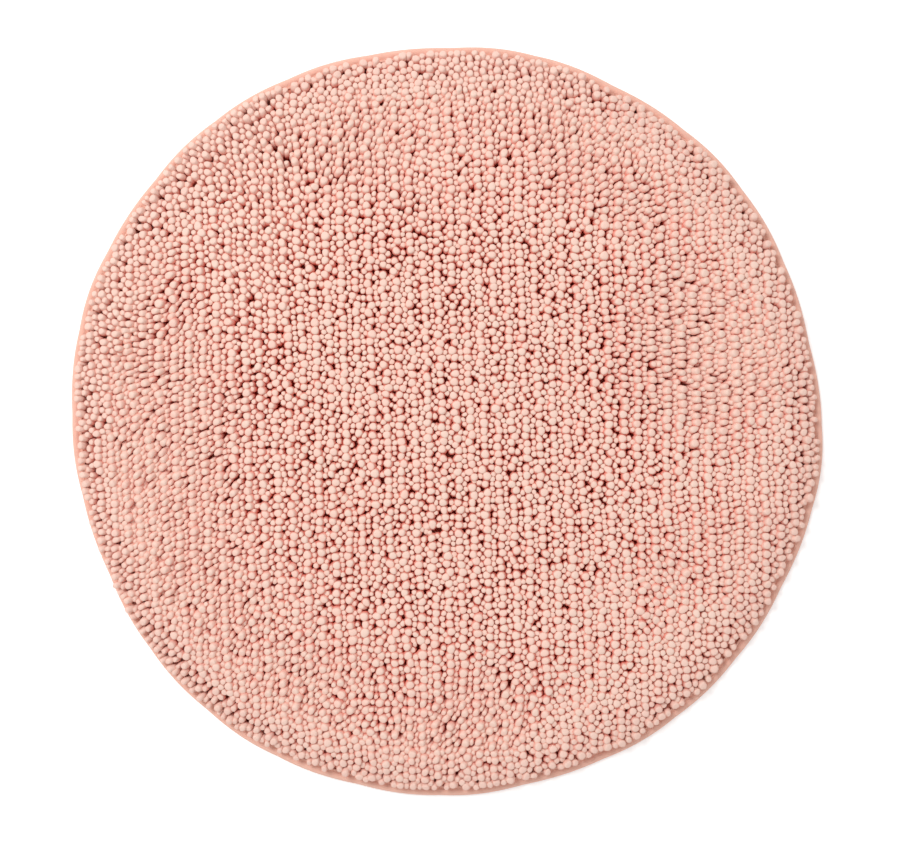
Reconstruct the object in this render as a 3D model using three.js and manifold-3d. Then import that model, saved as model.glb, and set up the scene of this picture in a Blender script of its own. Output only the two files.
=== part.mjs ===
// Round tufted chenille bath mat with a taped edge and an anti-slip underside.
// Millimetres, +Z up. The origin is the centre of the underside, on the floor. The tufted rows run along Y.
import * as THREE from "three";
import { mergeVertices } from "three/addons/utils/BufferGeometryUtils.js";
import Module from "manifold-3d";

const wasm = await Module();
wasm.setup();

// Driving dimensions of the mat
const matDiameter = 700; // over the edge binding
const coatThickness = 2; // rubbery anti-slip coat under the cloth
const clothThickness = 1.4; // woven canvas that the yarn is tufted through
const pileHeight = 20; // from the cloth to the tips of the tufts
const rowPitch = 12.7; // one row of thick tufts and one of thin ones to each half inch
const crownRadius = 3.5; // rounding along the top of a row, where the tips splay
const tapeThickness = 0.7; // folded tape of the edge binding
const tapeLeg = 9; // how far the tape reaches in from the rim, above and below
const threadDiameter = 0.6;
const seamInset = 2.2; // from the tape's inner edge to the line of stitches
const labelWidth = 30;
const labelLength = 42;
const labelThickness = 0.4;

// Clearances
const layerGap = 0.3; // between two layers that lie on each other
const rowGap = 0.3; // between the pile of neighbouring rows
const labelClearance = 2; // bare cloth around the care label, where the coat stops

// Fineness of the round shapes
const rimFacets = 96;
const threadFacets = 6;
const crownFacets = 3;
const foldFacets = 6;
const mostStrips = 54; // a mat with more rows than this has several rows to a strip

// Heights of the layers, from the floor up
const clothBottom = coatThickness + layerGap;
const clothTop = clothBottom + clothThickness;
const pileBottom = clothTop + layerGap;
const tapeBottom = clothBottom - layerGap - tapeThickness;
const tapeTop = clothTop + layerGap + tapeThickness;
const foldRadius = (tapeTop - tapeBottom) / 2; // the tape turns round the cloth's edge in a half circle

// Radii, from the rim inwards
const matRadius = matDiameter / 2;
const clothRadius = matRadius - foldRadius;
const tapeInnerRadius = matRadius - tapeLeg;
const fieldRadius = tapeInnerRadius - layerGap; // the coat and the pile end here, against the tape
const seamRadius = tapeInnerRadius + seamInset;

const pileYarn = new THREE.MeshStandardMaterial({ color: 0xf0c0ac, roughness: 0.95, metalness: 0 });
const canvas = new THREE.MeshStandardMaterial({ color: 0xe9b6a2, roughness: 0.9, metalness: 0 });
const bindingTape = new THREE.MeshStandardMaterial({ color: 0xf6bda4, roughness: 0.85, metalness: 0 });
const sewingThread = new THREE.MeshStandardMaterial({ color: 0xf2b49c, roughness: 0.6, metalness: 0 });
const gripRubber = new THREE.MeshStandardMaterial({ color: 0xe6ddd2, roughness: 0.7, metalness: 0 });
const labelSatin = new THREE.MeshStandardMaterial({ color: 0xf4f2ee, roughness: 0.5, metalness: 0 });

// A closed geometry as a solid for cutting and joining.
function solidOf(geometry) {
  const bare = geometry.clone();
  bare.deleteAttribute("normal");
  bare.deleteAttribute("uv");
  const merged = mergeVertices(bare, 1e-4);
  return new wasm.Manifold(
    new wasm.Mesh({
      numProp: 3,
      vertProperties: new Float32Array(merged.attributes.position.array),
      triVerts: new Uint32Array(merged.index.array),
    }),
  );
}

// A solid back as a geometry.
function geometryOf(solid) {
  const made = solid.getMesh();
  const geometry = new THREE.BufferGeometry();
  geometry.setAttribute("position", new THREE.BufferAttribute(made.vertProperties, 3));
  geometry.setIndex(new THREE.BufferAttribute(made.triVerts, 1));
  geometry.computeVertexNormals();
  return geometry;
}

// A disc lying on z = 0.
function disc(radius, thickness) {
  const geometry = new THREE.CylinderGeometry(radius, radius, thickness, rimFacets);
  geometry.rotateX(Math.PI / 2);
  geometry.translate(0, 0, thickness / 2);
  return geometry;
}

// A block standing on z = 0, centred in X, running from yLow to yHigh.
function block(width, yLow, yHigh, height) {
  const geometry = new THREE.BoxGeometry(width, yHigh - yLow, height);
  geometry.translate(0, (yLow + yHigh) / 2, height / 2);
  return geometry;
}

// The care label lies under the cloth at the -Y edge, its sewn end just inside the tape.
const labelOuterY = -Math.sqrt(fieldRadius ** 2 - (labelWidth / 2) ** 2);
const labelInnerY = labelOuterY + labelLength;

function careLabel() {
  const mesh = new THREE.Mesh(block(labelWidth, labelOuterY, labelInnerY, labelThickness), labelSatin);
  mesh.name = "care_label";
  mesh.position.z = clothBottom - layerGap - labelThickness;
  return mesh;
}

// The coat covers the cloth inside the tape and leaves a bay for the label.
function antiSlipCoat() {
  const bay = block(
    labelWidth + 2 * labelClearance,
    -matRadius,
    labelInnerY + labelClearance,
    coatThickness + 2 * layerGap,
  );
  bay.translate(0, 0, -layerGap);
  const coat = solidOf(disc(fieldRadius, coatThickness)).subtract(solidOf(bay));
  const mesh = new THREE.Mesh(geometryOf(coat), gripRubber);
  mesh.name = "anti_slip_coat";
  return mesh;
}

function baseCloth() {
  const mesh = new THREE.Mesh(disc(clothRadius, clothThickness), canvas);
  mesh.name = "base_cloth";
  mesh.position.z = clothBottom;
  return mesh;
}

// Tape folded round the cloth's edge: a C section, open inwards, turned about Z.
function edgeBinding() {
  const middle = (tapeTop + tapeBottom) / 2;
  const section = new THREE.Path();
  section.moveTo(tapeInnerRadius, tapeBottom);
  section.lineTo(clothRadius, tapeBottom);
  section.absarc(clothRadius, middle, foldRadius, -Math.PI / 2, Math.PI / 2, false);
  section.lineTo(tapeInnerRadius, tapeTop);
  section.lineTo(tapeInnerRadius, tapeTop - tapeThickness);
  section.absarc(clothRadius, middle, foldRadius - tapeThickness, Math.PI / 2, -Math.PI / 2, true);
  section.lineTo(tapeInnerRadius, tapeBottom + tapeThickness);
  section.lineTo(tapeInnerRadius, tapeBottom);
  const geometry = new THREE.LatheGeometry(section.getPoints(foldFacets), rimFacets);
  geometry.rotateX(Math.PI / 2);
  const mesh = new THREE.Mesh(geometry, bindingTape);
  mesh.name = "edge_binding";
  return mesh;
}

// One line of lockstitch holds the tape: the needle thread lies on top, the bobbin thread underneath.
function seamThread(name, height) {
  const geometry = new THREE.TorusGeometry(seamRadius, threadDiameter / 2, threadFacets, rimFacets);
  const mesh = new THREE.Mesh(geometry, sewingThread);
  mesh.name = name;
  mesh.position.z = height;
  return mesh;
}

// The section of a strip of pile: upright sides and a rounded crown.
function stripSection(width) {
  const half = width / 2;
  const shoulder = pileHeight - crownRadius;
  const section = new THREE.Shape();
  section.moveTo(-half, 0);
  section.lineTo(half, 0);
  section.absarc(half - crownRadius, shoulder, crownRadius, 0, Math.PI / 2, false);
  section.absarc(-half + crownRadius, shoulder, crownRadius, Math.PI / 2, Math.PI, false);
  section.closePath();
  return section;
}

// Every strip holds a row of thick tufts and the thin row beside it. Its ends follow the round edge of the pile.
function pileStrips() {
  const rowCount = Math.floor((2 * fieldRadius + rowGap) / rowPitch);
  const rowsPerStrip = Math.ceil(rowCount / mostStrips);
  const stripCount = Math.floor(rowCount / rowsPerStrip);
  const stripPitch = rowPitch * rowsPerStrip;
  const field = solidOf(disc(fieldRadius, pileHeight));
  const strips = new THREE.Group();
  strips.position.z = pileBottom;
  for (let i = 0; i < stripCount; i++) {
    const geometry = new THREE.ExtrudeGeometry(stripSection(stripPitch - rowGap), {
      depth: matDiameter,
      bevelEnabled: false,
      curveSegments: crownFacets,
    });
    geometry.rotateX(Math.PI / 2);
    geometry.translate((i - (stripCount - 1) / 2) * stripPitch, matRadius, 0);
    const mesh = new THREE.Mesh(geometryOf(solidOf(geometry).intersect(field)), pileYarn);
    mesh.name = "pile_row_" + String(i + 1).padStart(2, "0");
    strips.add(mesh);
  }
  return strips;
}

const mat = new THREE.Group();
mat.add(
  antiSlipCoat(),
  careLabel(),
  baseCloth(),
  edgeBinding(),
  seamThread("needle_thread", tapeTop + layerGap + threadDiameter / 2),
  seamThread("bobbin_thread", tapeBottom - layerGap - threadDiameter / 2),
  pileStrips(),
);

export default mat;
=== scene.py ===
import math

import bmesh
import bpy
import numpy as np
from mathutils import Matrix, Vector
from mathutils.kdtree import KDTree


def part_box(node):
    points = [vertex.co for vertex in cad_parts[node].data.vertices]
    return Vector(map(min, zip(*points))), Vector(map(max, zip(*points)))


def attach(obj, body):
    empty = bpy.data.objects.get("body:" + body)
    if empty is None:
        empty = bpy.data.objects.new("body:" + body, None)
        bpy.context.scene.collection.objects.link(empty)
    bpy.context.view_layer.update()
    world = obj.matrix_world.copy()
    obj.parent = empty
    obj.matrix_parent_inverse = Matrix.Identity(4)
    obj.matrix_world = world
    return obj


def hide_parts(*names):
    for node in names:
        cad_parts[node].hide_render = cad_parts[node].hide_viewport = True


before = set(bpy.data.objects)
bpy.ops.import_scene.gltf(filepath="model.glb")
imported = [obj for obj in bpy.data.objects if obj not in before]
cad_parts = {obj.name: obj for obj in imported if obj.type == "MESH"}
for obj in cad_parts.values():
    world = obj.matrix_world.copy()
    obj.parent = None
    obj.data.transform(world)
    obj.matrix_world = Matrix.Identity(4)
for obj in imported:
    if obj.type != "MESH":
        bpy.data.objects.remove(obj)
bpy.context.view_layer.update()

# A round bath mat of cut chenille, tufted in rows through a canvas, with a taped edge and a rubbery coat
# beneath. Sizes are in millimetres and turned to metres with mm. X runs across the rows, Y along them.

mm = 0.001
tiny = 0.01 * mm  # the least that a length counts as where it divides
scene = bpy.context.scene
draws = np.random.default_rng(20)  # every random choice comes from here, in this order

rowNames = sorted(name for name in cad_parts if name.startswith("pile_row"))
clothLow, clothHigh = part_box("base_cloth")
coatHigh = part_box("anti_slip_coat")[1]
labelLow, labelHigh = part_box("care_label")
pileLow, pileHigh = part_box(rowNames[len(rowNames) // 2])  # the middle row, which is the longest
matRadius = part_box("edge_binding")[1].x
pileRadius = pileHigh.y
print("frame read:", len(rowNames), "pile rows,", round(matRadius * 2 / mm), "mm across")

studio = dict(
    eyeHeight=1500,  # the camera looks straight down from here
    viewWidth=841.7,  # how much of the floor the picture spans
    aside=(3.8, -2.7),  # the mat lies a little left of and above the middle
    roll=-2.0,  # degrees the rows are turned from upright
    keyPlace=(-1350, 1300, 2700),  # a big soft lamp, high up at the back left
    keyAcross=1300,
    keyPower=55,  # watts
    skyStrength=0.71,
    floorGlow=0.2,  # the floor is lit a little from below, which thins the shadow on it
    floorAcross=60000,
)


def lookAt(target, place):
    return (Vector(target) - Vector(place)).to_track_quat("-Z", "Y").to_euler()


def makeCamera():
    data = bpy.data.cameras.new("camera")
    data.sensor_width = 36
    data.lens = data.sensor_width * studio["eyeHeight"] / studio["viewWidth"]
    data.clip_start, data.clip_end = 0.01, 50  # metres
    camera = bpy.data.objects.new("camera", data)
    across, along = studio["aside"]
    camera.location = (across * mm, along * mm, studio["eyeHeight"] * mm)
    camera.rotation_euler = (0, 0, math.radians(studio["roll"]))
    scene.collection.objects.link(camera)
    scene.camera = camera


def makeLights():
    key = bpy.data.lights.new("windowLight", "AREA")
    key.shape = "DISK"
    key.size = studio["keyAcross"] * mm
    key.energy = studio["keyPower"]
    lamp = bpy.data.objects.new("windowLight", key)
    lamp.location = Vector(studio["keyPlace"]) * mm
    lamp.rotation_euler = lookAt((0, 0, 0), lamp.location)
    scene.collection.objects.link(lamp)
    sky = bpy.data.worlds.new("softStudio")
    sky.use_nodes = True
    sky.node_tree.nodes["Background"].inputs["Color"].default_value = (1.0, 1.0, 1.0, 1)
    sky.node_tree.nodes["Background"].inputs["Strength"].default_value = studio["skyStrength"]
    scene.world = sky
    scene.view_settings.view_transform = "Standard"


def linear(hexColour):
    channels = [int(hexColour[i : i + 2], 16) / 255 for i in (1, 3, 5)]
    return [c / 12.92 if c <= 0.04045 else ((c + 0.055) / 1.055) ** 2.4 for c in channels] + [1.0]


def addNode(tree, kind, inputs=(), **settings):
    # Adds a node. An input is a value, or the output socket that feeds it.
    node = tree.nodes.new(kind)
    for name, value in settings.items():
        setattr(node, name, value)
    for socket, value in dict(inputs).items():
        if isinstance(value, bpy.types.NodeSocket):
            tree.links.new(value, node.inputs[socket])
        else:
            node.inputs[socket].default_value = value
    return node


def startMaterial(name, roughness):
    material = bpy.data.materials.new(name)
    material.use_nodes = True
    tree = material.node_tree
    tree.nodes.clear()
    place = addNode(tree, "ShaderNodeTexCoord").outputs["Object"]
    shader = addNode(tree, "ShaderNodeBsdfPrincipled", {"Roughness": roughness})
    addNode(tree, "ShaderNodeOutputMaterial", {"Surface": shader.outputs["BSDF"]})
    return material, tree, place, shader


def mixColours(tree, share, first, second):
    return addNode(tree, "ShaderNodeMix", {0: share, 6: first, 7: second}, data_type="RGBA").outputs[2]


def compute(tree, operation, first, second=0.0):
    return addNode(tree, "ShaderNodeMath", {0: first, 1: second}, operation=operation).outputs[0]


def rescale(tree, value, source, target):
    # Maps the range source to the range target.
    ends = dict(enumerate((*source, *target), 1))
    return addNode(tree, "ShaderNodeMapRange", {0: value, **ends}).outputs[0]


def noise(tree, place, size, detail):
    # Soft noise whose blobs are about this many millimetres across.
    inputs = {"Vector": place, "Scale": 1 / (size * mm), "Detail": detail}
    return addNode(tree, "ShaderNodeTexNoise", inputs).outputs["Fac"]


def emboss(tree, shader, height, distance, strength):
    # Raises the surface by a bump, distance in millimetres.
    inputs = {"Height": height, "Distance": distance * mm, "Strength": strength}
    relief = addNode(tree, "ShaderNodeBump", inputs)
    tree.links.new(relief.outputs["Normal"], shader.inputs["Normal"])


def attribute(tree, name):
    # A value that each of the mesh's points holds.
    return addNode(tree, "ShaderNodeAttribute", attribute_name=name).outputs["Fac"]


def chenilleMaterial():
    # Microfibre chenille yarn, cut and brushed: no gloss at all, and a pale bloom where fibre ends face the
    # light. Down between the tufts the colour is painted a deeper, redder shade, and a faint painted red
    # glow stands there for the little light that comes through the fibres.
    material, tree, place, shader = startMaterial("cutMicrofibreChenille", 0.95)
    paintedShadeAndGlow = attribute(tree, "paintedShadeAndGlow")
    body = mixColours(tree, attribute(tree, "tone"), linear("#F1C9BA"), linear("#EDCFC0"))
    # the tufts of the outer band take a greyer, duller colour
    body = mixColours(tree, attribute(tree, "greyerRim"), body, linear("#E9C3B5"))
    # painted shade: the colour deepens to red down between the tufts
    colour = mixColours(tree, paintedShadeAndGlow, body, linear("#E2533A"))
    speck = rescale(tree, noise(tree, place, 0.7, 3.0), (0.35, 0.7), (0.0, 0.25))
    colour = mixColours(tree, speck, colour, linear("#FADDD2"))
    tree.links.new(colour, shader.inputs["Base Color"])
    emboss(tree, shader, noise(tree, place, 1.6, 4.0), 0.5, 0.45)
    # painted glow: a faint red light given off where the painted shade is deep
    through = mixColours(tree, paintedShadeAndGlow, linear("#000000"), linear("#FF4014"))
    tree.links.new(through, shader.inputs["Emission Color"])
    shader.inputs["Emission Strength"].default_value = 0.02
    shader.inputs["Sheen Weight"].default_value = 0.2
    shader.inputs["Sheen Roughness"].default_value = 0.6
    shader.inputs["Sheen Tint"].default_value = linear("#FFC8B4")
    shader.inputs["Specular IOR Level"].default_value = 0.1
    return material


def slotFinish(piece, material):
    piece.data.materials.clear()
    piece.data.materials.append(material)
    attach(piece, "root")


def addPiece(name, mesh):
    piece = bpy.data.objects.new(name, mesh)
    scene.collection.objects.link(piece)
    return piece


rim = dict(
    # how far the edge stands in and out: waves round the mat, their height and a crest's bearing in degrees
    waves=(
        (2, 1.1, -47), (3, 1.0, 17), (4, 1.7, -32), (6, 0.7, -10),
        (8, 0.8, -10), (9, 0.6, -7), (13, 0.4, 20),
    ),
    scallops=(14, 0.9, 10),  # half the number of soft bulges in the edge, their height, a cusp's bearing
    startsAt=0.72,  # share of the radius inside which nothing is moved, and
    fullAt=0.97,  # outside which all of the wave is there
)


def smooth(low, high, value):
    t = np.clip((value - low) / (high - low), 0, 1)
    return t * t * (3 - 2 * t)


def rimWave(bearing):
    wave = sum(
        height * np.cos(count * (bearing - math.radians(crest))) for count, height, crest in rim["waves"]
    )
    count, height, cusp = rim["scallops"]
    bulge = np.abs(np.sin(count * (bearing - math.radians(cusp)))) - 0.6  # about its mean
    return (wave + height * bulge) * mm


def followRim(points):
    # Moves points in or out with the wavy edge, the more the nearer they are to it.
    reach = np.hypot(points[:, 0], points[:, 1])
    share = smooth(rim["startsAt"], rim["fullAt"], reach / matRadius)
    grown = 1 + rimWave(np.arctan2(points[:, 1], points[:, 0])) * share / np.maximum(reach, mm)
    points[:, 0] *= grown
    points[:, 1] *= grown
    return points


pile = dict(
    thickStitch=7.0,  # along the row, between thick tufts
    thinStitch=4.9,
    thickWidth=7.45,  # across a tip
    thinWidth=5.35,
    widthVaries=0.065,  # by this share of it
    middleWidth=0.95,  # share of their width that the tufts of the worn middle have
    rimWidth=(0.48, 6.55),  # how far those in the outer band come to one width, and which one
    rimLength=0.78,  # share of their length that the last ones have
    stagger=(0.7, 1.4),  # how far thick and thin tufts stand left and right of their line by turns
    scatter=(0.55, 0.7),  # how far a root strays across the row, and along it
    tipScatter=1.3,
    length=20.3,  # of a tuft, from the cloth to its tip
    lengthVaries=0.035,
    thinShorter=0.9,
    edgeRoom=1.6,  # bare cloth between the last tufts and the binding
    sink=0.3,  # how far down in the cloth a tuft starts
    bodyShare=1.34,  # the stem's width against the tip's: lower down the tufts press on each other
    slimmer=0.45,  # a power that takes the stem's extra width away again where the stem shows
    squash=0.065,  # how far from round a tuft is, in two ways: longer one way, and
    lobed=0.06,  # out and in by turns
    flatter=0.13,  # how much thinner a tuft gets across the lean when it lies over
    bendAt=(0.2, 0.55),  # where a tuft's curve bends, as shares of its lean and of its height
    lowest=0.45,  # share of its length that a tuft stands up, however far it leans
    standing=0.22,  # how much the upright pile counts against the brushed zones
    overhang=(5.2, 2.4, 190),  # how far the last tufts lean out, how much that varies, and where most
    overhangMore=((0, 26, 3.4), (268, 32, -2.0)),  # round a bearing: the bearing, its spread, and the lean
    bareTape=5.0,  # how much of the binding they leave bare, and
    bareTapeLess=((206, 30, 5.2), (130, 16, 2.4), (0, 22, 1.4), (268, 32, -1.6)),  # less round a bearing
    clumps=170,
    clumpLean=1.0,
    clumpReach=7,  # how fast a clump's pull fades
)

# Shares of the mat's radius, from where a change in the pile starts to where it is complete.
bands = dict(
    worn=(0.66, 0.5),  # inwards, to the narrower tufts of the middle
    clumped=(0.35, 0.8),  # partings between clumps get wider
    evened=(0.78, 0.9),  # thick and thin tufts come nearer to one width
    paler=(0.8, 0.9),  # light reaches further down
    greyerRim=(0.82, 0.95),
    upright=(0.84, 0.91),  # out of the brushed zones
    overhung=(0.87, 0.97),
    shorter=(0.9, 0.975),
    # the painted shade lessens most in this band
    palest=(0.935, 0.965),
)

settling = dict(
    within=13,  # tips further apart than this never meet
    spacing=1.01,  # how far apart two tips rest, against their radii together
    stretch=0.32,  # how much longer a tuft's place is where it leans, and
    narrower=0.6,  # the power of that by which it is narrower
    push=0.4,  # share of an overlap that goes in one round
    pull=0.04,  # share of the way back that a stem pulls its tip in one round
    rounds=50,
)

# Where feet and packing have brushed the pile: centre, reach, the bearing the tips point to, and how far.
brushed = (
    (-277, 25, 64, 213, 11.0),
    (-277, -70, 64, 218, 11.5),
    (-252, -150, 60, 222, 11.5),
    (-200, -205, 56, 233, 11.0),
    (-136, -250, 50, 240, 10.0),
    (-45, -280, 52, 246, 8.0),
    (55, -280, 50, 246, 7.0),
    (145, -245, 45, 250, 4.5),
    (205, -165, 36, -82, 9.0),
    (262, -155, 46, 20, 9.0),
    (255, 60, 66, 2, 13.0),
    (228, 190, 50, 45, 7.5),
    (145, 262, 54, 52, 10.5),
    (-5, 266, 56, 60, 8.0),
    (-92, 262, 56, 72, 9.0),
    (-150, 232, 44, 84, 5.0),
    (-258, 122, 42, 194, 8.0),
    (-190, 150, 34, 84, 6.0),
    (-136, -93, 70, 222, 4.0),
)


def around(bearing, humps):
    # The sum of a few soft humps round the mat, each with its top's bearing, its spread and its height.
    total = np.zeros_like(bearing)
    for top, spread, height in humps:
        aside = np.angle(np.exp(1j * (bearing - math.radians(top)))) / math.radians(spread)
        total += height * np.exp(-aside * aside)
    return total


def leanAt(points):
    # The lean of the tips over a point of the cloth, as a step across it. Round the rim the tufts stand
    # upright.
    pull = np.zeros_like(points)
    total = np.full(len(points), pile["standing"])
    for x, y, spread, bearing, far in brushed:
        away = np.hypot(points[:, 0] - x * mm, points[:, 1] - y * mm) / (spread * mm)
        weight = np.exp(-away * away)
        way = math.cos(math.radians(bearing)), math.sin(math.radians(bearing))
        pull += np.outer(weight * far * mm, way)
        total += weight
    reach = np.hypot(points[:, 0], points[:, 1])
    upright = smooth(*bands["upright"], reach / matRadius)
    usual, varies, most = pile["overhang"]
    turned = np.arctan2(points[:, 1], points[:, 0])
    over = usual + varies * np.cos(turned - math.radians(most)) + around(turned, pile["overhangMore"])
    over = over * mm * smooth(*bands["overhung"], reach / matRadius) / np.maximum(reach, mm)
    return pull / total[:, None] * (1 - upright)[:, None] + points * over[:, None]


def clumpLean(points):
    # Tufts lean together in clumps, which leaves partings between them.
    count = pile["clumps"]
    bearing = draws.uniform(0, 2 * math.pi, count)
    reach = matRadius * np.sqrt(draws.uniform(0, 1, count))
    centres = np.column_stack((reach * np.cos(bearing), reach * np.sin(bearing)))
    varies = 0.4 + 1.3 * smooth(*bands["clumped"], reach / matRadius)  # upright in the middle
    steps = draws.normal(0, pile["clumpLean"] * mm, (count, 2)) * varies[:, None]
    away = np.hypot(points[:, None, 0] - centres[None, :, 0], points[:, None, 1] - centres[None, :, 1])
    weight = np.exp(-away / (pile["clumpReach"] * mm))
    return (weight[:, :, None] * steps[None]).sum(axis=1) / weight.sum(axis=1)[:, None]


def rowRoots(name):
    # Where the tufts of one row go through the cloth: the thick ones on one side of it, the thin ones on
    # the other.
    low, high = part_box(name)
    middle, quarter = (low.x + high.x) / 2, (high.x - low.x) / 4
    strayAcross, strayAlong = pile["scatter"]
    found = []
    for side, stitch, width, stagger in (
        (-1, pile["thickStitch"], pile["thickWidth"], pile["stagger"][0]),
        (1, pile["thinStitch"], pile["thinWidth"], pile["stagger"][1]),
    ):
        x = middle + side * quarter
        inside = (pileRadius - pile["edgeRoom"] * mm) ** 2 - x * x
        if inside <= 0:
            continue
        reach = math.sqrt(inside)
        y = np.arange(-reach + draws.uniform(0, stitch * mm), reach, stitch * mm)
        x = x + stagger * mm * (-1) ** np.arange(len(y)) + draws.normal(0, strayAcross * mm, len(y))
        y = y + draws.normal(0, strayAlong * mm, len(y))
        found.append(np.column_stack((x, y, np.full(len(y), width / 2 * mm))))
    return found


def tipRoom(bearing):
    # How far out a tuft may reach before it hides too much of the binding.
    return matRadius - (pile["bareTape"] - around(bearing, pile["bareTapeLess"])) * mm


def settleTips(tips, radii, lean):
    # Tips that overlap push each other aside, thin ones further than thick, while their stems pull them
    # back. Tufts that lean show their backs, so they need more room along the lean, and less across it.
    anchors = tips.copy()
    tree = KDTree(len(tips))
    for i, (x, y) in enumerate(tips):
        tree.insert((x, y, 0), i)
    tree.balance()
    within = settling["within"] * mm
    near = [
        (i, j) for i, (x, y) in enumerate(tips) for _, j, _ in tree.find_range((x, y, 0), within) if i < j
    ]
    a, b = np.array(near).T
    wanted = (radii[a] + radii[b]) * settling["spacing"]
    shareOfA = radii[b] ** 2 / (radii[a] ** 2 + radii[b] ** 2)
    shared = (lean[a] + lean[b]) / 2
    far = np.maximum(np.hypot(shared[:, 0], shared[:, 1]), tiny)
    way = shared / far[:, None]
    stretch = 1 + settling["stretch"] * smooth(2 * mm, 10 * mm, far)
    for _ in range(settling["rounds"]):
        gap = tips[a] - tips[b]
        ahead = (gap * way).sum(axis=1)
        aside = gap - ahead[:, None] * way
        aside = np.hypot(aside[:, 0], aside[:, 1]) * stretch ** settling["narrower"]
        apart = np.maximum(np.hypot(ahead / stretch, aside), tiny)
        step = gap / apart[:, None] * np.maximum(wanted - apart, 0)[:, None]
        move = np.zeros_like(tips)
        np.add.at(move, a, step * shareOfA[:, None])
        np.add.at(move, b, -step * (1 - shareOfA)[:, None])
        tips = tips + settling["push"] * move + settling["pull"] * (anchors - tips)
        room = tipRoom(np.arctan2(tips[:, 1], tips[:, 0])) - 0.9 * radii  # to the tip's outer side
        tips *= np.minimum(1, room / np.maximum(np.hypot(tips[:, 0], tips[:, 1]), mm))[:, None]
    return tips


def tuftTemplate(sides, rings):
    # A tuft of unit width and length, grown ring by ring from its root. A ring is its height and radius.
    bm = bmesh.new()
    bmesh.ops.create_circle(bm, cap_ends=True, segments=sides, radius=rings[0][1])
    bmesh.ops.reverse_faces(bm, faces=bm.faces[:])
    edges = bm.edges[:]
    for (low, before), (high, radius) in zip(rings, rings[1:]):
        grown = bmesh.ops.extrude_edge_only(bm, edges=edges)["geom"]
        verts = [part for part in grown if isinstance(part, bmesh.types.BMVert)]
        edges = [part for part in grown if isinstance(part, bmesh.types.BMEdge)]
        bmesh.ops.scale(bm, vec=(radius / before, radius / before, 1), verts=verts)
        bmesh.ops.translate(bm, vec=(0, 0, high - low), verts=verts)
    bmesh.ops.contextual_create(bm, geom=edges)
    bmesh.ops.recalc_face_normals(bm, faces=bm.faces[:])
    return finishMesh("template", bm)


def finishMesh(name, bm):
    for face in bm.faces:
        face.smooth = True
    mesh = bpy.data.meshes.new(name)
    bm.to_mesh(mesh)
    bm.free()
    return mesh


def repeated(name, template, count):
    # One mesh holding count copies of a small one, put together from blocks that double in size.
    blocks = [template]
    while 2 ** len(blocks) <= count:
        bm = bmesh.new()
        bm.from_mesh(blocks[-1])
        bm.from_mesh(blocks[-1])
        blocks.append(finishMesh("block", bm))
    bm = bmesh.new()
    for power, block in enumerate(blocks):
        if count >> power & 1:
            bm.from_mesh(block)
    for block in blocks[1:]:
        bpy.data.meshes.remove(block)
    return finishMesh(name, bm)


def meshPoints(mesh):
    points = np.empty(len(mesh.vertices) * 3)
    mesh.vertices.foreach_get("co", points)
    return points.reshape(-1, 3)


def leaningShare(steps):
    # From 0 for tufts that stand upright to 1 for those that lean far, by the steps from roots to tips.
    return smooth(2 * mm, 9 * mm, np.hypot(steps[:, 0], steps[:, 1]))[:, None]


def bendTufts(shape, roots, tips, radii, size):
    # Lays the template along a curve from each root to its tip: it stands up from the cloth and leans over.
    count = len(roots)
    step = np.column_stack((tips - roots, np.zeros(count)))
    far = np.maximum(np.hypot(step[:, 0], step[:, 1]), tiny)
    rimShare = smooth(*bands["shorter"], np.hypot(roots[:, 0], roots[:, 1]) / matRadius)
    length = pile["length"] * size * mm * draws.normal(1, pile["lengthVaries"], count)
    length = length * (1 - (1 - pile["rimLength"]) * rimShare)
    # a stem that leans is curved as well, which takes a little more of its length
    height = np.sqrt(np.maximum(length**2 - 1.15 * far**2, (pile["lowest"] * length) ** 2))
    start = np.column_stack((roots, np.full(count, clothHigh.z - pile["sink"] * mm)))
    end = start + step + np.outer(height, (0, 0, 1))
    bendAlong, bendUp = pile["bendAt"]
    bend = start + bendAlong * step + np.outer(bendUp * height, (0, 0, 1))
    ahead = step / far[:, None]
    side = np.column_stack((-ahead[:, 1], ahead[:, 0], np.zeros(count)))
    t = shape[None, :, 2, None]
    centre = (1 - t) ** 2 * start[:, None] + 2 * t * (1 - t) * bend[:, None] + t * t * end[:, None]
    way = (1 - t) * (bend - start)[:, None] + t * (end - bend)[:, None]
    way /= np.linalg.norm(way, axis=2, keepdims=True)
    across = np.cross(np.broadcast_to(side[:, None], way.shape), way)
    turn = draws.uniform(0, 2 * math.pi, count)[:, None]
    cosine, sine = np.cos(turn), np.sin(turn)
    squash = np.exp(draws.normal(0, pile["squash"], count))[:, None]
    leaning = leaningShare(step)
    fatness = np.maximum(np.hypot(shape[:, 0], shape[:, 1]), 1)[None, :]
    lobes = 1 + pile["lobed"] * np.cos(3 * np.arctan2(shape[None, :, 1], shape[None, :, 0]) + 5 * turn)
    lobes *= fatness ** (-pile["slimmer"] * np.maximum(leaning, 0.4 * rimShare[:, None]))
    flatter = 1 - pile["flatter"] * leaning
    x = (shape[None, :, 0] * cosine - shape[None, :, 1] * sine) * radii[:, None] * squash * lobes
    y = (shape[None, :, 0] * sine + shape[None, :, 1] * cosine) * radii[:, None] / squash * lobes
    x, y = x * flatter, y / flatter**0.7
    outward = x[:, :, None] * side[:, None] + y[:, :, None] * across
    facing = outward[:, :, 2] / np.maximum(np.linalg.norm(outward, axis=2), tiny)
    return centre + outward, facing


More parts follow.
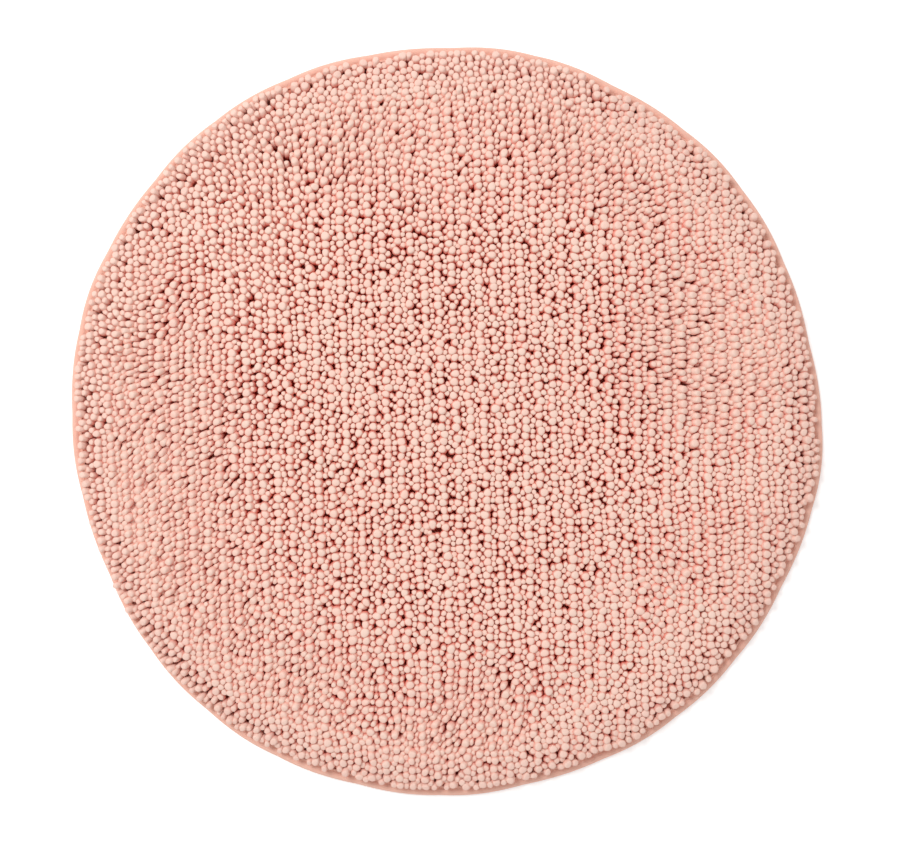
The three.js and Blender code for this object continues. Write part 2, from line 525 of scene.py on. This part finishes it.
def growRow(name, groups, templates, material):
    # One row of tufts as one piece. groups are the thick and the thin tufts: roots, tips, radii.
    bm = bmesh.new()
    points, paintedShadeAndGlow, tone, greyerRim = [], [], [], []
    for template, size, (roots, tips, radii) in zip(templates, (1, pile["thinShorter"]), groups):
        shape = meshPoints(template)
        for _ in range(len(roots)):
            bm.from_mesh(template)
        bent, facing = bendTufts(shape, roots, tips, radii, size)
        points.append(bent.reshape(-1, 3))
        # painted shade: redder low down and where leaning tufts touch; less on their lit backs and at the
        # rim
        leaning = leaningShare(tips - roots)
        low = smooth(0.95, 0.68, shape[None, :, 2]) * (1 - 0.8 * leaning * smooth(-0.2, 0.4, facing))
        paintedFlankShade = leaning**0.5 * smooth(0.25, -0.35, facing) * smooth(1.0, 0.93, shape[None, :, 2])
        reach = np.hypot(roots[:, 0], roots[:, 1]) / matRadius
        lit = 0.35 * smooth(*bands["paler"], reach) + 0.5 * smooth(*bands["palest"], reach)
        paintedShadeAndGlow.append((np.maximum(low, paintedFlankShade) * (1 - lit[:, None])).ravel())
        tone.append(np.repeat(draws.uniform(0, 1, len(roots)), len(shape)))
        # greyer, duller colour for the tufts of the outer band, some more than others
        outer = smooth(*bands["greyerRim"], reach) * draws.uniform(0.4, 1.0, len(roots))
        greyerRim.append(np.repeat(outer, len(shape)))
    mesh = bpy.data.meshes.new(name)
    bm.to_mesh(mesh)
    bm.free()
    mesh.vertices.foreach_set("co", np.concatenate(points).ravel())
    for what, values in (("paintedShadeAndGlow", paintedShadeAndGlow), ("tone", tone), ("greyerRim", greyerRim)):
        mesh.attributes.new(what, "FLOAT", "POINT").data.foreach_set("value", np.concatenate(values))
    mesh.update()
    piece = addPiece(name, mesh)
    slotFinish(piece, material)
    return piece


def makePile():
    material = chenilleMaterial()
    stem = pile["bodyShare"]
    thick = tuftTemplate(
        11, ((0, 0.85), (0.73, stem), (0.85, 1.02), (0.925, 1), (0.967, 0.88), (0.99, 0.64), (1.0, 0.3))
    )
    thin = tuftTemplate(
        8, ((0, 0.85), (0.73, stem), (0.87, 1), (0.945, 0.97), (0.976, 0.86), (0.993, 0.62), (1.0, 0.28))
    )
    rows = [(name, rowRoots(name)) for name in rowNames]
    every = np.concatenate([group for _, groups in rows for group in groups])
    roots, radii = every[:, :2], every[:, 2] * draws.normal(1, pile["widthVaries"], len(every))
    reach = np.hypot(roots[:, 0], roots[:, 1]) / matRadius
    share, width = pile["rimWidth"]
    radii += share * (width / 2 * mm - radii) * smooth(*bands["evened"], reach)
    radii *= 1 - (1 - pile["middleWidth"]) * smooth(*bands["worn"], reach)
    lean = leanAt(roots)
    tips = roots + lean + clumpLean(roots) + draws.normal(0, pile["tipScatter"] * mm, roots.shape)
    tips = settleTips(tips, radii, lean)
    roots, tips = followRim(roots.copy()), followRim(tips)
    at = 0
    for number, (name, groups) in enumerate(rows):
        parts = []
        for group in groups:
            span = slice(at, at + len(group))
            parts.append((roots[span], tips[span], radii[span]))
            at += len(group)
        piece = growRow(f"chenilleRow{number + 1:02d}", parts, (thick, thin), material)
        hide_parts(name)
    print("pile:", len(every), "tufts")


def tapeMaterial():
    # Soft cotton tape cut on the slant: matt, with a plain weave just fine enough to feel, and a faint
    # cloudiness where the dye took unevenly.
    material, tree, place, shader = startMaterial("cottonBindingTape", 0.88)
    across = attribute(tree, "across")
    parts = addNode(tree, "ShaderNodeSeparateXYZ", {0: place}).outputs
    bearing = compute(tree, "ARCTAN2", parts["Y"], parts["X"])
    along = compute(tree, "MULTIPLY", bearing, matRadius)
    threads = []
    for operation in ("ADD", "SUBTRACT"):
        run = compute(tree, operation, along, across)
        turn = compute(tree, "MULTIPLY", run, math.pi / (0.35 * mm))  # a thread is 0.35 mm wide
        threads.append(compute(tree, "SINE", turn))
    weave = compute(tree, "MULTIPLY", *threads)
    colour = mixColours(tree, noise(tree, place, 16, 3.0), linear("#F4BDA9"), linear("#F8CAB9"))
    shade = rescale(tree, weave, (-1.0, 1.0), (0.12, 0.0))
    colour = mixColours(tree, shade, colour, linear("#D98A70"))
    tree.links.new(colour, shader.inputs["Base Color"])
    emboss(tree, shader, compute(tree, "ADD", weave, noise(tree, place, 0.9, 4.0)), 0.12, 0.6)
    shader.inputs["Sheen Weight"].default_value = 0.3
    shader.inputs["Sheen Roughness"].default_value = 0.5
    shader.inputs["Sheen Tint"].default_value = linear("#FFD9C8")
    shader.inputs["Specular IOR Level"].default_value = 0.2
    return material


def threadMaterial():
    # Spun polyester thread: a slight silky shine, with the plies showing as fine slanting ridges.
    material, tree, place, shader = startMaterial("spunSewingThread", 0.5)
    plies = addNode(
        tree,
        "ShaderNodeTexWave",
        {"Vector": place, "Scale": 1 / (3.2 * mm), "Distortion": 2.0, "Detail": 2.0},
        bands_direction="DIAGONAL",
    ).outputs["Fac"]
    # painted shade: the grooves between the plies are darker
    colour = mixColours(tree, plies, linear("#E59F86"), linear("#F6BFA9"))
    tree.links.new(colour, shader.inputs["Base Color"])
    emboss(tree, shader, plies, 0.06, 0.7)
    shader.inputs["Sheen Weight"].default_value = 0.3
    shader.inputs["Sheen Roughness"].default_value = 0.35
    return material


def canvasMaterial():
    # Tufting canvas: a coarse plain weave, dyed with the pile, whose crossings are 1.3 mm apart.
    material, tree, place, shader = startMaterial("tuftingCanvas", 0.9)
    heights = []
    for direction in ("X", "Y"):
        inputs = {"Vector": place, "Scale": 1 / (4.1 * mm)}
        heights.append(addNode(tree, "ShaderNodeTexWave", inputs, bands_direction=direction).outputs["Fac"])
    weave = compute(tree, "MULTIPLY", *heights)
    # painted shade: the weave's dips are darker
    colour = mixColours(tree, weave, linear("#D98873"), linear("#EBAA96"))
    colour = mixColours(tree, noise(tree, place, 7, 4.0), colour, linear("#D9836B"))
    tree.links.new(colour, shader.inputs["Base Color"])
    emboss(tree, shader, weave, 0.3, 0.8)
    shader.inputs["Sheen Weight"].default_value = 0.15
    return material


def rubberMaterial(name, fresh, yellowed, roughness):
    # Latex: satin rather than shiny, creamy, slightly yellowed in clouds, with pinholes where it foamed.
    material, tree, place, shader = startMaterial(name, roughness)
    grain = noise(tree, place, 1.1, 5.0)
    holes = addNode(tree, "ShaderNodeTexVoronoi", {"Vector": place, "Scale": 1 / (3.4 * mm)})
    pits = rescale(tree, holes.outputs["Distance"], (0.0, 0.16), (1.0, 0.0))
    colour = mixColours(tree, noise(tree, place, 55, 5.0), linear(fresh), linear(yellowed))
    # painted shade: darker down in the pinholes
    faint = rescale(tree, pits, (0.0, 1.0), (0.0, 0.45))
    colour = mixColours(tree, faint, colour, linear("#B79A88"))
    tree.links.new(colour, shader.inputs["Base Color"])
    emboss(tree, shader, compute(tree, "SUBTRACT", grain, pits), 0.25, 0.6)
    rough = rescale(tree, grain, (0.3, 0.7), (roughness - 0.1, roughness + 0.1))
    tree.links.new(rough, shader.inputs["Roughness"])
    shader.inputs["Specular IOR Level"].default_value = 0.4
    return material


def satinMaterial():
    # Woven satin ribbon: long floats make it shine along its width, with a faint rib and a milky white
    # ground.
    material, tree, place, shader = startMaterial("wovenSatinLabel", 0.34)
    inputs = {"Vector": place, "Scale": 1 / (1.6 * mm), "Distortion": 0.4}
    ribs = addNode(tree, "ShaderNodeTexWave", inputs, bands_direction="Y").outputs["Fac"]
    colour = mixColours(tree, noise(tree, place, 9, 3.0), linear("#F6F3EE"), linear("#EAE3DA"))
    tree.links.new(colour, shader.inputs["Base Color"])
    emboss(tree, shader, ribs, 0.05, 0.5)
    shader.inputs["Anisotropic"].default_value = 0.5
    shader.inputs["Sheen Weight"].default_value = 0.2
    return material


def spinChain(name, chain, steps):
    # Spins a chain of points, each a radius and a height, round the mat. The layer keeps the way along it.
    bm = bmesh.new()
    across = bm.verts.layers.float.new("across")
    verts = [bm.verts.new((radius, 0, height)) for radius, height in chain]
    edges = [bm.edges.new(pair) for pair in zip(verts, verts[1:])]
    for before, vert in zip(verts, verts[1:]):
        vert[across] = before[across] + (vert.co - before.co).length
    bmesh.ops.spin(
        bm,
        geom=verts + edges,
        axis=(0, 0, 1),
        cent=(0, 0, 0),
        steps=steps,
        angle=2 * math.pi,
        use_merge=True,
    )
    bmesh.ops.remove_doubles(bm, verts=bm.verts[:], dist=0.001 * mm)
    bmesh.ops.recalc_face_normals(bm, faces=bm.faces[:])
    return finishMesh(name, bm)


def reshape(mesh, *changes):
    # Passes a mesh's points through functions that move them.
    points = meshPoints(mesh)
    for change in changes:
        points = change(points)
    mesh.vertices.foreach_set("co", points.ravel())
    mesh.update()


def thicken(piece, thickness, offset=0.0):
    layer = piece.modifiers.new("thickness", "SOLIDIFY")
    layer.thickness = thickness
    layer.offset = offset


tape = dict(
    # the folded tape's middle, from under the mat round the edge to its top: inwards from the edge, and up
    profile=(
        (9.0, 1.62), (8.0, 1.52), (7.2, 1.7), (6.8, 1.78), (6.4, 1.66), (5.4, 1.25), (4.0, 1.02),
        (2.4, 1.08), (1.1, 1.55), (0.45, 2.35), (0.35, 3.3), (0.75, 4.3), (1.7, 5.15), (3.1, 5.62),
        (4.5, 5.55), (5.7, 5.1), (6.4, 4.66), (6.8, 4.5), (7.2, 4.62), (7.9, 4.92), (8.7, 4.9), (9.2, 4.66),
    ),
    thickness=0.7,
    steps=1500,
    puckers=((71, 0.2), (113, 0.17), (179, 0.14), (263, 0.1)),  # how many ripples go round, their height
    strip=(0.022, 2.19),  # the tape as it was cut, in metres
)


def puckerTape(points):
    # The tape gathers a little as it turns round the curve: ripples between the seam and the fold.
    bearing = np.arctan2(points[:, 1], points[:, 0])
    inward = matRadius - np.hypot(points[:, 0], points[:, 1])
    ripples = sum(
        height * np.cos(count * bearing + draws.uniform(0, 6.28)) for count, height in tape["puckers"]
    )
    share = smooth(0.2 * mm, 2.5 * mm, inward) * smooth(6.7 * mm, 5.2 * mm, inward)
    middle = (clothLow.z + clothHigh.z) / 2
    points[:, 2] += ripples * mm * share * np.where(points[:, 2] > middle, 1, -0.5)
    return points


def makeBinding():
    chain = [(matRadius - inward * mm, height * mm) for inward, height in tape["profile"]]
    mesh = spinChain("edgeBinding", chain, tape["steps"])
    reshape(mesh, puckerTape, followRim)
    piece = addPiece("edgeBinding", mesh)
    thicken(piece, tape["thickness"] * mm)
    slotFinish(piece, tapeMaterial())
    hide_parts("edge_binding")
    print("binding: folded round the edge")


seam = dict(
    inward=6.8,  # from the mat's edge, where the tape's profile has its groove
    pitch=3.2,  # lockstitch length
    strays=0.03,  # by this share of it
    shown=0.88,  # share of it that lies on the tape before the thread dives through
    needleHeight=4.86,
    bobbinHeight=1.38,
    bow=0.24,  # how much the middle of a stitch stands above its ends
)


def makeStitches(name, node, height, bow, material):
    # One ring of lockstitches, each a short fat length of thread that dives into the tape at both ends.
    low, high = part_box(node)
    thickness = (high.z - low.z) / 2
    template = tuftTemplate(6, ((0, 0.4), (0.12, 0.86), (0.5, 1), (0.88, 0.86), (1, 0.4)))
    shape = meshPoints(template)
    radius = matRadius - seam["inward"] * mm
    count = round(2 * math.pi * radius / (seam["pitch"] * mm))
    mesh = repeated(name, template, count)
    t = shape[None, :, 2]
    start = np.arange(count)[:, None] + draws.normal(0, seam["strays"], count)[:, None]
    bearing = (start + t * seam["shown"]) * 2 * math.pi / count
    reach = radius + shape[None, :, 1] * thickness
    z = height * mm + bow * mm * (1 - (2 * t - 1) ** 2) - shape[None, :, 0] * thickness
    z = np.broadcast_to(z, bearing.shape)
    points = np.stack((reach * np.cos(bearing), reach * np.sin(bearing), z), axis=2)
    mesh.vertices.foreach_set("co", points.ravel())
    reshape(mesh, followRim)
    piece = addPiece(name, mesh)
    slotFinish(piece, material)
    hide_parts(node)


cloth = dict(rings=30, steps=260)  # of its mesh


def makeCloth():
    middle = (clothLow.z + clothHigh.z) / 2
    chain = [(clothHigh.x * i / cloth["rings"], middle) for i in range(cloth["rings"] + 1)]
    mesh = spinChain("baseCloth", chain, cloth["steps"])
    reshape(mesh, followRim)
    piece = addPiece("baseCloth", mesh)
    thicken(piece, clothHigh.z - clothLow.z)
    slotFinish(piece, canvasMaterial())
    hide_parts("base_cloth")
    print("base cloth: laid")


coat = dict(
    film=0.95,  # thickness of the latex
    ridge=0.55,  # how far the back stitches of the pile lift it
    rowGap=0.3,  # between the strips of pile
    edge=(5, 0.35),  # how wide the band is in which its outer side rises at the edge, and by how much
    columns=424,  # of the grid that the film is made from
    lines=84,
    bayRoom=2,  # round the label
    dotPitch=11.5,
    dotWidth=5.2,
    dotSink=0.35,
    dotRoom=(6, 7),  # bare film round the label, and at the edge
)


def makeCoat():
    # The grid's columns run the whole way across the circle, and its faces over the label are left out.
    half = coatHigh.x
    bayHalf = (labelHigh.x - labelLow.x) / 2 + coat["bayRoom"] * mm
    bayEnd = labelHigh.y + coat["bayRoom"] * mm
    inner = 2 * round(coat["columns"] * bayHalf / half / 2)
    outer = (coat["columns"] - inner) // 2
    bayLines = round(coat["lines"] * (half + bayEnd) / half / 2) + 1
    left = np.linspace(-half * 0.9999, -bayHalf, outer + 1)
    columns = np.concatenate((left, np.linspace(-bayHalf, bayHalf, inner + 1)[1:-1], -left[::-1]))
    split = bayEnd / half
    below = np.linspace(-1, split, bayLines + 1)
    above = np.linspace(split, 1, coat["lines"] - bayLines + 1)
    lines = np.concatenate((below, above[1:]))

    bm = bmesh.new()
    bmesh.ops.create_grid(bm, x_segments=len(columns) - 1, y_segments=len(lines) - 1, size=1)
    bmesh.ops.reverse_faces(bm, faces=bm.faces[:])
    inBay = []
    for face in bm.faces:
        centre = (face.calc_center_median() + Vector((1, 1, 0))) / 2
        column, line = centre.x * (len(columns) - 1), centre.y * (len(lines) - 1)
        if outer < column < outer + inner and line < bayLines:
            inBay.append(face)
    bmesh.ops.delete(bm, geom=inBay, context="FACES")
    mesh = finishMesh("antiSlipCoat", bm)

    def layCoat(points):
        x = columns[np.rint((points[:, 0] + 1) / 2 * (len(columns) - 1)).astype(int)]
        y = lines[np.rint((points[:, 1] + 1) / 2 * (len(lines) - 1)).astype(int)] * np.sqrt(half**2 - x**2)
        pitch = pileHigh.x - pileLow.x + coat["rowGap"] * mm
        ridge = 0.5 + 0.5 * np.cos(4 * math.pi * (x / pitch - 0.25))
        edgeWidth, edgeThinner = coat["edge"]
        edge = smooth(half - edgeWidth * mm, half, np.hypot(x, y))
        z = coatHigh.z - (coat["film"] + coat["ridge"] * ridge**2 * (1 - edge) - edgeThinner * edge) * mm
        return np.column_stack((x, y, z))

    reshape(mesh, layCoat, followRim)
    piece = addPiece("antiSlipCoat", mesh)
    thicken(piece, coat["film"] * mm, -1.0)
    slotFinish(piece, rubberMaterial("sprayedLatex", "#EADCCB", "#DCC8B4", 0.62))
    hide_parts("anti_slip_coat")
    print("coat: laid on the cloth's back")


def makeDots():
    # Little domes of latex in a hexagonal pattern, which are what the mat stands on.
    roomAtLabel, roomAtEdge = coat["dotRoom"]
    bayHalf = (labelHigh.x - labelLow.x) / 2 + roomAtLabel * mm
    bayEnd = labelHigh.y + roomAtLabel * mm
    pitch = coat["dotPitch"] * mm
    lines = np.arange(-50, 51)  # more than enough to cover the mat
    across, up = np.meshgrid(lines, lines)
    x = ((across + 0.5 * (up % 2)) * pitch).ravel()
    y = (up * pitch * math.sqrt(0.75)).ravel()
    keep = (np.hypot(x, y) < coatHigh.x - roomAtEdge * mm) & ~((np.abs(x) < bayHalf) & (y < bayEnd))
    x, y = x[keep], y[keep]
    template = tuftTemplate(10, ((0, 1), (0.66, 0.86), (1, 0.4)))
    shape = meshPoints(template)
    mesh = repeated("gripDots", template, len(x))
    foot = coatHigh.z - (coat["film"] - coat["dotSink"]) * mm
    size = coat["dotWidth"] / 2 * mm * draws.normal(1, 0.04, len(x))[:, None]
    points = np.stack(
        (
            x[:, None] + shape[None, :, 0] * size,
            y[:, None] - shape[None, :, 1] * size,
            np.broadcast_to(foot * (1 - shape[None, :, 2]), (len(x), len(shape))),
        ),
        axis=2,
    )
    mesh.vertices.foreach_set("co", points.ravel())
    reshape(mesh, followRim)
    piece = addPiece("gripDots", mesh)
    slotFinish(piece, rubberMaterial("printedLatexDots", "#FAF6EF", "#F1E9DD", 0.45))
    print("grip dots:", len(x))


label = dict(
    thickness=0.25,
    drop=0.3,  # of its middle below the cloth
    curl=0.9,  # how far the loose end hangs
    hem=(0.08, 0.07),  # shares of its width and its length that are folded under
    hemDrop=0.06,
)


def makeLabel():
    width, length = labelHigh.x - labelLow.x, labelHigh.y - labelLow.y
    bm = bmesh.new()
    bmesh.ops.create_grid(bm, x_segments=20, y_segments=34, size=0.5)
    mesh = finishMesh("careLabel", bm)

    def layLabel(points):
        across, along = points[:, 0], points[:, 1] + 0.5
        loose = smooth(0.25, 1.0, along)
        curl = label["curl"] * mm * loose * (0.55 + 0.9 * across**2 + 0.25 * np.sin(5 * along))
        z = labelHigh.z - label["drop"] * mm - curl
        hemSide, hemEnd = label["hem"]
        hem = np.maximum(smooth(0.5 - hemSide, 0.5, np.abs(across)), smooth(1 - hemEnd, 1, along))
        z -= label["hemDrop"] * mm * hem
        return np.column_stack((across * width, labelLow.y + along * length, z))

    reshape(mesh, layLabel, followRim)
    piece = addPiece("careLabel", mesh)
    thicken(piece, label["thickness"] * mm)
    slotFinish(piece, satinMaterial())
    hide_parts("care_label")
    print("label: sewn in, blank")


def makeFloor():
    bm = bmesh.new()
    bmesh.ops.create_grid(bm, x_segments=1, y_segments=1, size=studio["floorAcross"] / 2 * mm)
    floor = addPiece("studioFloor", finishMesh("studioFloor", bm))
    painted, _, _, shader = startMaterial("paintedFloor", 0.9)
    shader.inputs["Base Color"].default_value = linear("#FAFAFA")
    shader.inputs["Emission Color"].default_value = linear("#FFFFFF")
    shader.inputs["Emission Strength"].default_value = studio["floorGlow"]
    floor.data.materials.append(painted)


makeCamera()
makeLights()
makeFloor()
print("studio: camera, lamp and floor")
makePile()
makeBinding()
thread = threadMaterial()
makeStitches("needleStitches", "needle_thread", seam["needleHeight"], seam["bow"], thread)
makeStitches("bobbinStitches", "bobbin_thread", seam["bobbinHeight"], -seam["bow"], thread)
print("seam: sewn")
makeCloth()
makeCoat()
makeDots()
makeLabel()
